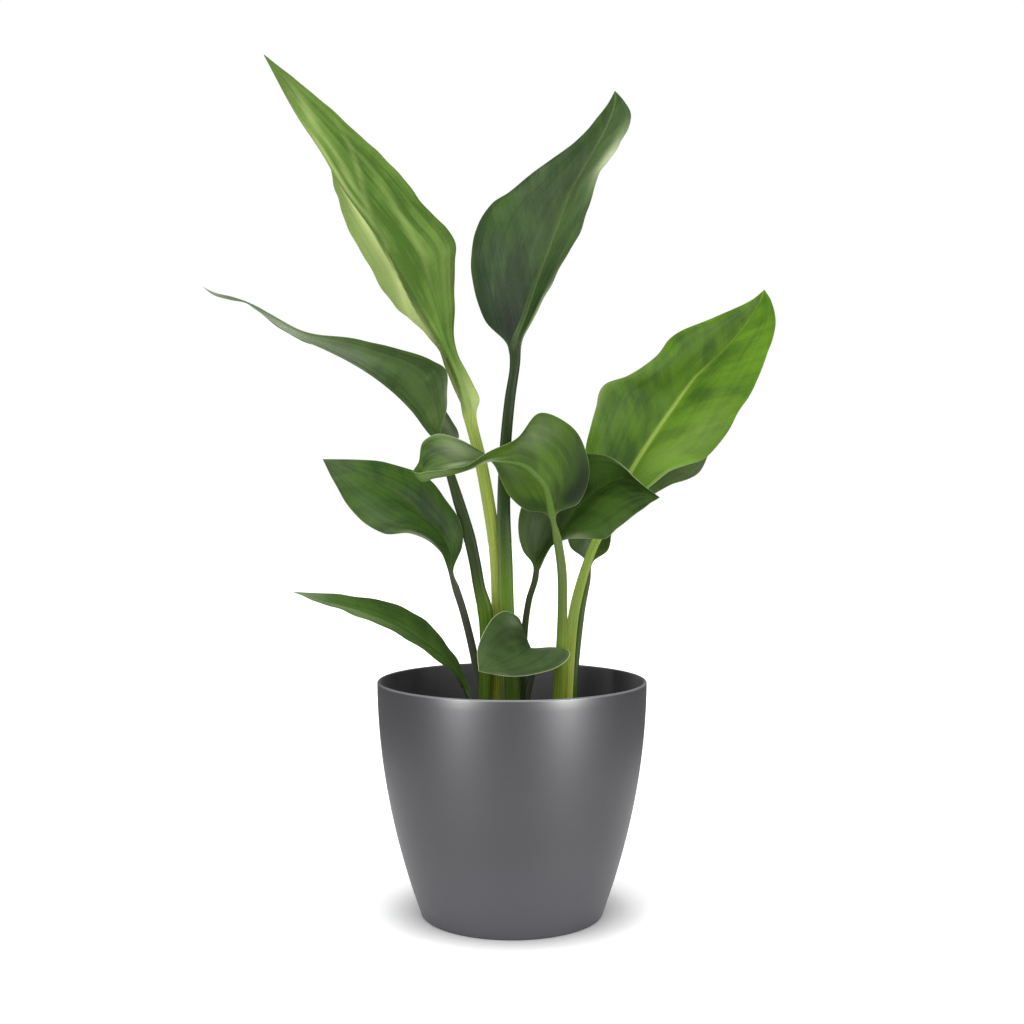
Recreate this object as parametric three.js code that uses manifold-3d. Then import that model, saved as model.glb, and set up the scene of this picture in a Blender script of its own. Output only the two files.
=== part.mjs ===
// Potted bird of paradise: a young plant of ten leaves in a round tapered pot.
// Millimetres, +Z up. The origin is the centre of the pot's underside and -Y is the front.
import * as THREE from 'three';
import { mergeVertices } from 'three/addons/utils/BufferGeometryUtils.js';
import Module from 'manifold-3d';

const wasm = await Module();
wasm.setup();

// Pot
const POT_HEIGHT = 155;
const RIM_RADIUS = 90;
const POT_TAPER = 1.5; // radius lost in a straight line from rim to foot
const POT_BELLY = 28; // radius lost as a curve, which rounds the wall in towards the foot
const POT_WALL = 2.4;
const POT_FLOOR = 3;
const FOOT_ROUND = 1.6;
const FOOT_STEPS = 2;
const ROUND_SIDES = 48;
const OUTSIDE_STEPS = 8;
const LIP_STEPS = 4;

// Soil
const SOIL_TOP = 122;
const SOIL_BUMP = 1.6;
const SOIL_RINGS = 5;
const WIDE_WAVE = [0.11, 0.13]; // the soil's wide bumps along X and Y, in radians per millimetre
const WAVE_START = 1; // where along X the wide bumps begin, in radians
const FINE_WAVE = [0.31, 0.27];
const FINE_SHARE = 0.5;
const WALL_FADE = 3; // how quickly the bumps grow from the wall inwards
const LEVEL_SLACK = 0.01;
const WALL_LEVELS = [POT_FLOOR, 32, 62, 92, SOIL_TOP]; // heights where wall and soil share their bends
const CLEARANCE = 0.3; // between soil and pot, and between soil and stalks
const HOLE_PLACES = [0, 0.5, 1]; // sections of a stalk's hole, in stalk rows

// Colours and roughness
const POT_LOOK = { color: 0x64636a, roughness: 0.42 };
const SOIL_LOOK = { color: 0x2e231a, roughness: 0.95 };
const LEAF_ROUGHNESS = 0.45;

// Leaves
const BLADE_THICKNESS = 0.7;
const RIB_STEPS = 2; // strips on each side of the midrib, over the rib itself
const BLADE_STEPS = 2; // strips from the rib to the margin
const STALK_STEPS = 2; // sections from one stalk row to the next
const ROW_STEPS = 2; // sections from one blade row to the next
const RIB_SHARE = 0.6; // the most of a half section that the rib's strips take
const STALK_DOME = 0.55; // how far the stalk's upper side is rounded, as a share of its depth
const DOME_START = 0.6; // the dome left at the blade's first row, and what each row after it loses
const DOME_LOSS = 0.4;
const RIB_START = 0.8; // depth of the midrib at the blade's base, as a share of the stalk's
const RIB_TIP_RADIUS = 0.6;
const RIB_TIP_DEPTH = 0.15;
const TIP_REACH = 0.93; // where the last section lies between the last two rows

// Each leaf is one grown piece: a stalk that opens into a blade.
// Stalk rows run up from the root end: centre, half width, half depth.
// Blade rows run from base to tip: left margin, midrib, right margin, as seen on the upper side.
// Facing is the direction of the stalk's upper side, and arch is the bulge of the left and
// right half of the blade as a share of their width. Soft rounds the fold at the midrib:
// 0 is a sharp fold and 1 runs flat over the rib.
const LEAVES = {
  tall_left_leaf: {
    colour: 0x5f8a2c,
    facing: [0.3, 1, 0.1],
    arch: [0.05, 0.06],
    soft: 0.2,
    stalk: [
      [[-11, 5, 104], 5.4, 5],
      [[-11, 5, 142.5], 5.4, 5],
      [[-9, 5, 199.5], 4.8, 4.3],
      [[-11, 5, 241.5], 4.5, 4.2],
      [[-15, 4, 269], 4.3, 4.1],
      [[-20.5, 2, 299.5], 4.2, 4],
      [[-26, 0, 322], 4, 3.8],
    ],
    blade: [
      [[-24, 3, 334], [-30, 0, 335], [-32, 4, 334]],
      [[-22, 8, 344], [-33, 2, 347], [-37, 9, 346]],
      [[-31, 14, 362], [-39, 4, 363], [-45, 14, 364]],
      [[-39, 22, 382], [-46, 5, 378], [-52, 22, 381]],
      [[-40, 34, 414], [-57, 7, 398], [-68, 34, 398]],
      [[-40, 41, 442], [-67, 8, 416], [-81, 40, 410]],
      [[-40, 44, 457], [-76, 9, 431], [-92, 44, 424]],
      [[-46, 45, 466], [-82, 10, 441], [-100, 46, 440]],
      [[-59, 46, 479], [-91, 12, 456], [-112, 47, 459]],
      [[-81, 42, 506], [-113, 16, 485], [-124, 48, 491]],
      [[-107, 36, 530], [-131, 20, 515], [-130, 42, 518]],
      [[-136, 30, 555], [-149, 24, 542], [-147, 32, 545]],
      [[-171, 24, 582], [-171, 24, 582], [-171, 24, 582]],
    ],
  },
  tall_right_leaf: {
    colour: 0x36542c,
    facing: [0.1, -1, 0],
    arch: [0.06, 0.08],
    soft: 0.7,
    stalk: [
      [[0, -3, 104], 5, 4.4],
      [[0.5, -3, 143.5], 5, 4.4],
      [[-3.5, -4.5, 200.5], 5.1, 3.6],
      [[-4.5, -4, 235.5], 4.9, 3.4],
      [[-5.5, -2, 265.5], 4.5, 3.6],
      [[-4.5, 3, 309], 3.9, 3.6],
      [[-1.5, 6, 342.5], 3.6, 3.4],
      [[2, 8, 367], 3.5, 3.3],
    ],
    blade: [
      [[-3, 7, 380], [1, 9, 381], [7, 6, 383]],
      [[-18, 4, 396], [8, 12, 399], [15, 2, 398]],
      [[-27, 0, 426], [18, 16, 428], [30, -2, 427]],
      [[-25, 0, 454], [27, 21, 453], [45, -1, 454]],
      [[-14, 6, 475], [36, 27, 477], [54, 4, 480]],
      [[-2, 10, 484], [40, 30, 488], [57, 8, 492]],
      [[16, 16, 500], [48, 33, 503], [64, 14, 504]],
      [[44, 28, 523], [61, 40, 526], [75, 22, 521]],
      [[60, 40, 543], [70, 47, 546], [83, 36, 543]],
      [[68, 47, 555], [73, 50, 557], [79, 46, 556]],
      [[73, 52, 565], [73, 52, 565], [73, 52, 565]],
    ],
  },
  right_leaf: {
    colour: 0x5a8c30,
    facing: [-0.2, -1, 0.1],
    arch: [0.06, 0.06],
    soft: 0.5,
    stalk: [
      [[36, 6, 104], 4, 3.8],
      [[37, 6, 142], 4, 3.8],
      [[42, 8, 199.5], 3.6, 3.4],
      [[52, 14, 234.5], 3, 3],
      [[59, 18, 250], 2.9, 2.9],
    ],
    blade: [
      [[62, 19, 258], [64, 20, 260], [66, 19, 257]],
      [[52, 15, 281], [72, 22, 276], [84, 13, 275]],
      [[50, 12, 308], [85, 25, 300], [106, 10, 294]],
      [[57, 12, 338], [100, 29, 323], [131, 9, 304]],
      [[62, 14, 353], [113, 33, 341], [147, 12, 322]],
      [[79, 16, 360], [121, 36, 352], [154, 15, 335]],
      [[97, 21, 372], [129, 38, 362], [162, 20, 345]],
      [[112, 29, 389], [147, 43, 379], [175, 30, 371]],
      [[142, 40, 403], [167, 48, 402], [185, 42, 399]],
      [[169, 48, 416], [175, 50, 415], [183, 49, 416]],
      [[179, 52, 424], [179, 52, 424], [179, 52, 424]],
    ],
  },
  curled_leaf: {
    colour: 0x4f7a38,
    facing: [0.1, 1, 0.1],
    arch: [0.05, 0.06],
    soft: 0.5,
    stalk: [
      [[31.5, -3, 104], 4.8, 3.8],
      [[32, -3, 143.5], 4.8, 3.8],
      [[33.5, -6, 182], 3.9, 3.4],
      [[33.5, -9, 202.5], 3.2, 3],
      [[33, -14, 228], 3.1, 2.9],
      [[30, -20, 248.5], 2.9, 2.8],
    ],
    blade: [
      [[29, -24, 266], [26, -25, 266], [23, -24, 266]],
      [[44, -18, 274], [24, -29, 276], [9, -20, 269]],
      [[51, -14, 293], [21, -33, 285], [-1, -17, 277]],
      [[46, -16, 315], [15, -36, 292], [-7, -17, 289]],
      [[37, -22, 325], [9, -38, 297], [-11, -18, 297]],
      [[18, -32, 332], [1, -39, 300], [-14, -19, 301]],
      [[3, -46, 315], [-8, -40, 301], [-16, -19, 303]],
      [[-13, -56, 307], [-15, -40, 301], [-18, -18, 306]],
      [[-29, -58, 298], [-27, -42, 296], [-34, -17, 315]],
      [[-41, -57, 295], [-40, -44, 292], [-48, -19, 319]],
      [[-52, -54, 294], [-50, -46, 290], [-58, -25, 314]],
      [[-59, -52, 293], [-57, -48, 288], [-60, -36, 301]],
      [[-63, -50, 294], [-63, -50, 294], [-63, -50, 294]],
    ],
  },
  broad_middle_leaf: {
    colour: 0x3c6428,
    facing: [0, -1, 0],
    arch: [0.08, 0.08],
    soft: 0.6,
    stalk: [
      [[8, 13, 104], 2.6, 2.5],
      [[7.5, 13, 141], 2.5, 2.4],
      [[8.5, 12, 185], 2.3, 2.2],
      [[11.5, 8, 207.5], 2.1, 2.1],
      [[15.5, 3, 221.5], 2.1, 2],
    ],
    blade: [
      [[14, -1, 232], [17, 1, 229], [19, -1, 231]],
      [[7, -4, 242], [23, 3, 241], [27, -6, 245]],
      [[4, -5, 259], [30, 5, 251], [34, -9, 249]],
      [[9, -5, 277], [38, 6, 262], [46, -12, 250]],
      [[22, -4, 295], [49, 6, 275], [61, -14, 250]],
      [[39, -4, 305], [61, 4, 284], [70, -16, 257]],
      [[58, -6, 306], [72, 0, 289], [81, -18, 266]],
      [[70, -10, 301], [83, -7, 287], [89, -18, 272]],
      [[81, -14, 290], [89, -13, 283], [94, -17, 275]],
      [[97, -18, 277], [97, -18, 277], [97, -18, 277]],
    ],
  },
  back_right_leaf: {
    colour: 0x3a5c28,
    facing: [0, -1, 0.1],
    arch: [0.06, 0.06],
    soft: 0.5,
    stalk: [
      [[40.5, 14, 104], 3.5, 3.4],
      [[40.5, 14, 141], 3.5, 3.4],
      [[47, 19, 198.5], 2.9, 2.8],
      [[51.5, 26, 220], 2.7, 2.6],
    ],
    blade: [
      [[51, 30, 233], [53, 31, 232], [56, 30, 232]],
      [[40, 31, 243], [58, 34, 243], [66, 28, 240]],
      [[40, 32, 261], [69, 37, 261], [70, 28, 255]],
      [[54, 34, 285], [82, 40, 278], [85, 30, 270]],
      [[79, 37, 304], [103, 42, 295], [111, 31, 286]],
      [[106, 40, 317], [121, 43, 307], [129, 33, 293]],
      [[143, 44, 321], [143, 44, 321], [143, 44, 321]],
    ],
  },
  arching_left_leaf: {
    colour: 0x3d5c33,
    facing: [1, 0.3, 0],
    arch: [0.05, 0.05],
    soft: 0.6,
    stalk: [
      [[-17.5, -4, 104], 5.3, 4.6],
      [[-17, -4, 144], 5.3, 4.8],
      [[-15.5, -4, 182], 4.6, 5.6],
      [[-16.5, -3.5, 202], 4.2, 6.4],
      [[-20.5, -3, 216.5], 3.7, 4.9],
      [[-23.5, -2, 233], 3.4, 4.8],
      [[-27.5, -1, 251], 3.3, 5],
      [[-35, 1, 275.5], 3.2, 4.5],
      [[-42, 3, 297], 3.1, 3.3],
    ],
    blade: [
      [[-48, 1, 318], [-48, 5, 315], [-42, 8, 314]],
      [[-44, -3, 334], [-55, 6, 322], [-36, 16, 318]],
      [[-43, -5, 350], [-66, 7, 336], [-41, 26, 329]],
      [[-44, -5, 362], [-78, 8, 348], [-53, 33, 344]],
      [[-54, -4, 369], [-92, 9, 359], [-73, 37, 357]],
      [[-78, -2, 377], [-108, 10, 369], [-96, 36, 370]],
      [[-103, 0, 383], [-126, 11, 378], [-119, 32, 379]],
      [[-137, 3, 388], [-142, 11, 385], [-142, 24, 384]],
      [[-151, 6, 394], [-155, 10, 392], [-158, 16, 392]],
      [[-172, 8, 406], [-173, 10, 405], [-174, 12, 405]],
      [[-181, 8, 410], [-181, 10, 410], [-181, 11, 409]],
      [[-190, 9, 413], [-191, 10, 412], [-191, 11, 411]],
      [[-202, 10, 416], [-202, 10, 415], [-202, 10, 414]],
      [[-210, 10, 420], [-210, 10, 420], [-210, 10, 420]],
    ],
  },
  mid_left_leaf: {
    colour: 0x3a6126,
    facing: [0, -1, 0],
    arch: [0.08, 0.08],
    soft: 0.5,
    stalk: [
      [[-22, 9, 104], 2.8, 2.6],
      [[-21.5, 8, 142], 2.8, 2.6],
      [[-25, 6, 167], 2.7, 2.5],
      [[-32.5, 0, 200], 2.5, 2.4],
      [[-37.5, -4, 216.5], 2.4, 2.3],
    ],
    blade: [
      [[-43, -8, 230], [-41, -7, 229], [-39, -6, 228]],
      [[-47, -16, 241], [-42, -10, 242], [-33, -6, 245]],
      [[-55, -24, 249], [-48, -13, 254], [-34, -6, 259]],
      [[-67, -31, 254], [-58, -17, 264], [-44, -7, 276]],
      [[-82, -36, 254], [-69, -21, 274], [-56, -10, 290]],
      [[-95, -38, 261], [-82, -25, 283], [-71, -15, 297]],
      [[-106, -38, 273], [-95, -29, 290], [-88, -21, 301]],
      [[-115, -37, 288], [-109, -32, 297], [-105, -28, 302]],
      [[-122, -36, 302], [-122, -36, 302], [-122, -36, 302]],
    ],
  },
  low_left_leaf: {
    colour: 0x3f6b28,
    facing: [0.2, -1, 0.2],
    arch: [0.06, 0.06],
    soft: 0.5,
    stalk: [
      [[-29, -12, 104], 2.6, 2.4],
      [[-27, -13, 135.5], 2.5, 2.3],
    ],
    blade: [
      [[-32, -14, 150], [-30, -13, 149], [-27, -12, 148]],
      [[-37, -23, 161], [-35, -15, 159], [-32, -7, 159]],
      [[-49, -32, 172], [-43, -18, 171], [-38, -3, 171]],
      [[-65, -38, 185], [-56, -21, 182], [-48, -1, 184]],
      [[-86, -40, 196], [-74, -23, 194], [-62, -3, 198]],
      [[-107, -38, 204], [-95, -25, 203], [-84, -9, 208]],
      [[-126, -34, 210], [-117, -27, 209], [-110, -17, 213]],
      [[-143, -28, 216], [-143, -28, 216], [-143, -28, 216]],
    ],
  },
  front_small_leaf: {
    colour: 0x3c5f33,
    facing: [0, 1, 0],
    arch: [0.08, 0.08],
    soft: 1,
    stalk: [
      [[9, 2, 104], 2.5, 2.4],
      [[10, 3, 142.5], 2.4, 2.3],
      [[13, 4, 156.5], 2.2, 2.1],
    ],
    blade: [
      [[17, 2, 168], [15, 3, 168], [13, 2, 168]],
      [[24, -3, 174], [13, -4, 176], [8, 0, 186]],
      [[35, -15, 177], [8, -14, 178], [4, -4, 197]],
      [[38, -22, 174], [3, -25, 177], [-3, -12, 202]],
      [[29, -30, 167], [-3, -35, 175], [-11, -23, 200]],
      [[15, -41, 164], [-8, -44, 173], [-18, -35, 191]],
      [[-2, -51, 164], [-14, -51, 171], [-22, -46, 180]],
      [[-21, -57, 168], [-21, -57, 168], [-21, -57, 168]],
    ],
  },
};

const vec = ([x, y, z]) => new THREE.Vector3(x, y, z);

function potRadius(z) {
  const down = (POT_HEIGHT - z) / POT_HEIGHT;
  return RIM_RADIUS - POT_TAPER * down - POT_BELLY * down * down;
}

function latheUp(profile, sides) {
  const geometry = new THREE.LatheGeometry(profile, sides);
  geometry.rotateX(Math.PI / 2);
  return geometry;
}

function potGeometry() {
  const lip = POT_WALL / 2;
  const profile = [new THREE.Vector2(0, 0)];
  for (let i = 0; i <= FOOT_STEPS; i += 1) {
    const turn = (i / FOOT_STEPS) * (Math.PI / 2);
    const x = potRadius(FOOT_ROUND) - FOOT_ROUND * (1 - Math.sin(turn));
    profile.push(new THREE.Vector2(x, FOOT_ROUND * (1 - Math.cos(turn))));
  }
  for (let i = 1; i <= OUTSIDE_STEPS; i += 1) {
    const z = FOOT_ROUND + ((POT_HEIGHT - lip - FOOT_ROUND) * i) / OUTSIDE_STEPS;
    profile.push(new THREE.Vector2(potRadius(z), z));
  }
  const lipCentre = potRadius(POT_HEIGHT - lip) - lip;
  for (let i = 1; i < LIP_STEPS; i += 1) {
    const turn = (i / LIP_STEPS) * Math.PI;
    const lipZ = POT_HEIGHT - lip + lip * Math.sin(turn);
    profile.push(new THREE.Vector2(lipCentre + lip * Math.cos(turn), lipZ));
  }
  [...WALL_LEVELS, POT_HEIGHT - lip].reverse().forEach((z) => {
    profile.push(new THREE.Vector2(potRadius(z) - POT_WALL, z));
  });
  profile.push(new THREE.Vector2(0, POT_FLOOR));
  return latheUp(profile, ROUND_SIDES);
}

// The three long curves of a leaf and the sizes that change along it
function leafPlan(leaf) {
  const stalkCentres = leaf.stalk.map(([centre]) => vec(centre));
  const guide = new THREE.CatmullRomCurve3([...stalkCentres, vec(leaf.blade[0][1])], false, 'centripetal');
  const left = [];
  const rib = [];
  const right = [];
  const sizes = [];
  leaf.stalk.forEach(([centre, halfWidth, halfDepth], i) => {
    const along = guide.getTangent(i / stalkCentres.length);
    const across = along.clone().cross(vec(leaf.facing)).normalize();
    left.push(vec(centre).addScaledVector(across, -halfWidth));
    rib.push(vec(centre));
    right.push(vec(centre).addScaledVector(across, halfWidth));
    sizes.push({ radius: halfWidth, depth: halfDepth, dome: halfDepth * STALK_DOME, arch: [0, 0], soft: 0 });
  });
  const top = sizes[sizes.length - 1];
  leaf.blade.forEach(([l, m, r], i) => {
    const gone = i / (leaf.blade.length - 1);
    left.push(vec(l));
    rib.push(vec(m));
    right.push(vec(r));
    sizes.push({
      radius: THREE.MathUtils.lerp(top.radius, RIB_TIP_RADIUS, Math.sqrt(gone)),
      depth: THREE.MathUtils.lerp(top.depth * RIB_START, RIB_TIP_DEPTH, Math.sqrt(gone)),
      dome: top.dome * Math.max(0, DOME_START - DOME_LOSS * i),
      arch: i === 0 ? [0, 0] : leaf.arch,
      soft: i === 0 ? 0 : leaf.soft,
    });
  });
  const curve = (points) => new THREE.CatmullRomCurve3(points, false, 'centripetal');
  return { left: curve(left), rib: curve(rib), right: curve(right), sizes, stalkRows: leaf.stalk.length };
}

function sizesAt(sizes, place) {
  const i = Math.min(Math.floor(place), sizes.length - 2);
  const share = place - i;
  const mix = (key) => THREE.MathUtils.lerp(sizes[i][key], sizes[i + 1][key], share);
  const arch = [0, 1].map((k) => THREE.MathUtils.lerp(sizes[i].arch[k], sizes[i + 1].arch[k], share));
  return { radius: mix('radius'), depth: mix('depth'), dome: mix('dome'), arch, soft: mix('soft') };
}

// Places along the leaf, in rows, where its sections lie
function sectionPlaces(plan) {
  const places = [];
  const last = plan.sizes.length - 1;
  for (let row = 0; row < last; row += 1) {
    const steps = row < plan.stalkRows ? STALK_STEPS : ROW_STEPS;
    for (let k = 0; k < steps; k += 1) {
      places.push(row + k / steps);
    }
  }
  places.push(last - 1 + TIP_REACH);
  return places;
}

// One section: points of the upper face from the left margin to the right one
function sectionPoints(plan, place) {
  const t = place / (plan.sizes.length - 1);
  const size = sizesAt(plan.sizes, place);
  const rib = plan.rib.getPoint(t);
  const along = plan.rib.getTangent(t);
  const left = plan.left.getPoint(t);
  const right = plan.right.getPoint(t);
  const flat = right.clone().sub(left).normalize();
  const half = (edge, side) => {
    const width = edge.distanceTo(rib);
    const across = edge.clone().sub(rib).multiplyScalar(side);
    const bend = flat.clone().multiplyScalar(width).sub(across).multiplyScalar(side * size.soft);
    const up = across.cross(along).normalize();
    const ribShare = Math.min(RIB_SHARE, size.radius / width);
    const points = [];
    for (let j = 0; j <= RIB_STEPS + BLADE_STEPS; j += 1) {
      const s = j <= RIB_STEPS
        ? (ribShare * j) / RIB_STEPS
        : ribShare + ((1 - ribShare) * (j - RIB_STEPS)) / BLADE_STEPS;
      const bulge = size.arch[side < 0 ? 0 : 1] * width * 4 * s * (1 - s);
      const at = rib.clone().lerp(edge, s).addScaledVector(up, bulge);
      at.addScaledVector(bend, s * (1 - s) * (1 - s));
      const offRib = Math.min(1, (s * width) / Math.min(size.radius, width));
      points.push({ at, round: Math.sqrt(1 - offRib * offRib) });
    }
    return points;
  };
  const leftHalf = half(left, -1).reverse();
  const rightHalf = half(right, 1);
  return { points: [...leftHalf, ...rightHalf.slice(1)], size };
}

// The closed skin of a leaf; grow widens it all round, for the hole that it stands in
function leafGeometry(plan, places, grow = 0) {
  const sections = places.map((place) => sectionPoints(plan, place));
  const count = sections[0].points.length;
  const positions = [];
  const index = [];
  const clampTo = (i, top) => Math.max(0, Math.min(top, i));
  const spot = (i, j) => sections[clampTo(i, sections.length - 1)].points[clampTo(j, count - 1)].at;
  sections.forEach(({ points, size }, i) => {
    points.forEach(({ at, round }, j) => {
      const across = spot(i, j + 1).clone().sub(spot(i, j - 1)).normalize();
      const along = spot(i + 1, j).clone().sub(spot(i - 1, j)).normalize();
      const up = across.clone().cross(along).normalize();
      const spread = across.multiplyScalar(grow * (j / (count - 1) - 0.5) * 2);
      if (i === 0) {
        spread.addScaledVector(along, -grow);
      }
      const upper = at.clone().addScaledVector(up, size.dome * round + grow).add(spread);
      const lower = at.clone().addScaledVector(up, -BLADE_THICKNESS - size.depth * round - grow).add(spread);
      positions.push(...upper.toArray(), ...lower.toArray());
    });
  });
  const upper = (i, j) => (i * count + j) * 2;
  const lower = (i, j) => upper(i, j) + 1;
  const quad = (a, b, c, d) => index.push(a, b, c, a, c, d);
  for (let i = 0; i < sections.length - 1; i += 1) {
    for (let j = 0; j < count - 1; j += 1) {
      quad(upper(i, j), upper(i, j + 1), upper(i + 1, j + 1), upper(i + 1, j));
      index.push(lower(i, j), lower(i + 1, j + 1), lower(i, j + 1));
      index.push(lower(i, j), lower(i + 1, j), lower(i + 1, j + 1));
    }
    quad(upper(i, 0), upper(i + 1, 0), lower(i + 1, 0), lower(i, 0));
    quad(upper(i, count - 1), lower(i, count - 1), lower(i + 1, count - 1), upper(i + 1, count - 1));
  }
  const end = sections.length - 1;
  for (let j = 0; j < count - 1; j += 1) {
    quad(upper(0, j), lower(0, j), lower(0, j + 1), upper(0, j + 1));
    quad(upper(end, j), upper(end, j + 1), lower(end, j + 1), lower(end, j));
  }
  const geometry = new THREE.BufferGeometry();
  geometry.setAttribute('position', new THREE.Float32BufferAttribute(positions, 3));
  geometry.setIndex(index);
  return geometry;
}

function solidOf(geometry) {
  const bare = geometry.clone();
  bare.deleteAttribute('normal');
  bare.deleteAttribute('uv');
  const merged = mergeVertices(bare);
  const vertProperties = new Float32Array(merged.attributes.position.array);
  const triVerts = new Uint32Array(merged.index.array);
  return new wasm.Manifold(new wasm.Mesh({ numProp: 3, vertProperties, triVerts }));
}

function geometryOf(solid) {
  const mesh = solid.getMesh();
  const geometry = new THREE.BufferGeometry();
  geometry.setAttribute('position', new THREE.BufferAttribute(new Float32Array(mesh.vertProperties), 3));
  geometry.setIndex(new THREE.BufferAttribute(new Uint32Array(mesh.triVerts), 1));
  return geometry;
}

// Potting soil: fills the pot, with a slightly uneven top and a hole for each stalk
function soilGeometry(plans) {
  const bottom = POT_FLOOR + CLEARANCE;
  const edge = potRadius(SOIL_TOP) - POT_WALL - CLEARANCE;
  const profile = [new THREE.Vector2(0, bottom)];
  WALL_LEVELS.forEach((z) => {
    profile.push(new THREE.Vector2(potRadius(z) - POT_WALL - CLEARANCE, Math.max(z, bottom)));
  });
  for (let i = 1; i <= SOIL_RINGS; i += 1) {
    profile.push(new THREE.Vector2(edge * (1 - i / SOIL_RINGS), SOIL_TOP));
  }
  const geometry = latheUp(profile, ROUND_SIDES);
  const spots = geometry.attributes.position;
  for (let i = 0; i < spots.count; i += 1) {
    const x = spots.getX(i);
    const y = spots.getY(i);
    const fade = 1 - Math.hypot(x, y) / edge;
    const wide = Math.sin(x * WIDE_WAVE[0] + WAVE_START) * Math.cos(y * WIDE_WAVE[1]);
    const fine = Math.sin(x * FINE_WAVE[0] - y * FINE_WAVE[1]);
    if (spots.getZ(i) > SOIL_TOP - LEVEL_SLACK) {
      spots.setZ(i, SOIL_TOP + SOIL_BUMP * (wide + FINE_SHARE * fine) * Math.min(1, WALL_FADE * fade));
    }
  }
  let soil = solidOf(geometry);
  plans.forEach((plan) => {
    const hole = leafGeometry(plan, HOLE_PLACES, CLEARANCE);
    soil = soil.subtract(solidOf(hole));
  });
  return geometryOf(soil);
}

function named(name, geometry, look) {
  const material = new THREE.MeshStandardMaterial({ ...look, metalness: 0 });
  const mesh = new THREE.Mesh(geometry, material);
  mesh.name = name;
  return mesh;
}

const plant = new THREE.Group();
const plans = Object.values(LEAVES).map(leafPlan);
plant.add(named('pot', potGeometry(), POT_LOOK));
plant.add(named('soil', soilGeometry(plans), SOIL_LOOK));
Object.entries(LEAVES).forEach(([name, leaf], i) => {
  const look = { color: leaf.colour, roughness: LEAF_ROUGHNESS };
  plant.add(named(name, leafGeometry(plans[i], sectionPlaces(plans[i])), look));
});

export default plant;
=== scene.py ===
# %% [markdown]
# # Potted bird of paradise
# A young plant of ten leaves stands in a round pot. The imported model is the frame: every piece
# made here lies where its solid lies, in metres, with the pot's foot at height zero and the
# front towards -Y. The imported box is kept first.

import math
import random

import bpy
import numpy as np
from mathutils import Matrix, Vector


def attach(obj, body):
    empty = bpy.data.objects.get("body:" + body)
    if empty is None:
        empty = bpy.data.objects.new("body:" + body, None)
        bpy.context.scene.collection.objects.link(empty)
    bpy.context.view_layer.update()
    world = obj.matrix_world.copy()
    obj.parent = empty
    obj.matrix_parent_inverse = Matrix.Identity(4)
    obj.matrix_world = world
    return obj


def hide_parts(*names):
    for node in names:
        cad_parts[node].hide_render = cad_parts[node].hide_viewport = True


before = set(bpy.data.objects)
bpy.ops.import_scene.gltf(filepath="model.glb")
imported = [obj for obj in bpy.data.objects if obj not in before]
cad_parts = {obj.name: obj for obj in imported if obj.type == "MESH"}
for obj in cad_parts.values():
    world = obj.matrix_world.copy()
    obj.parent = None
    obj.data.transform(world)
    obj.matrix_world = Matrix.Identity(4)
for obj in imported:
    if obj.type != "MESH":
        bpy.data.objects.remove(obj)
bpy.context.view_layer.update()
print("packed nodes:", sorted(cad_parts))

# %% [markdown]
# ## Camera
# How open the ellipse of the pot's rim looks tells how far above it the camera stood. The
# camera looks straight ahead, to keep upright things upright, and a shift frames the plant.

# %% Camera
EYE = (0.0, -0.912, 0.284)
LENS_MM = 47.81
SENSOR_MM = 36.0
HORIZON_SHIFT = -0.0244

bpy.ops.object.camera_add(location=EYE, rotation=(math.radians(90), 0, 0))
camera = bpy.context.object
camera.name = "studio_camera"
camera.data.sensor_fit = "HORIZONTAL"
camera.data.sensor_width = SENSOR_MM
camera.data.lens = LENS_MM
camera.data.shift_y = HORIZON_SHIFT
bpy.context.scene.camera = camera
bpy.context.scene.view_settings.view_transform = "Standard"
print("camera at", EYE, "lens", LENS_MM, "mm")

# %% [markdown]
# ## Helpers for looks
# Every finish is a net of small nodes: noises, sums, products and mixes. Short words for them
# keep the finishes readable.

# %% Helpers for node trees
COLOUR = "NodeSocketColor"
NUMBER = "NodeSocketFloat"


def paint(code):
    """A colour picker's code, turned into the light values of a shader."""
    light = [c / 255 for c in bytes.fromhex(code)]
    return tuple(c / 12.92 if c < 0.04045 else ((c + 0.055) / 1.055) ** 2.4 for c in light) + (1.0,)


def grey(light):
    return (light, light, light, 1.0)


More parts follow.
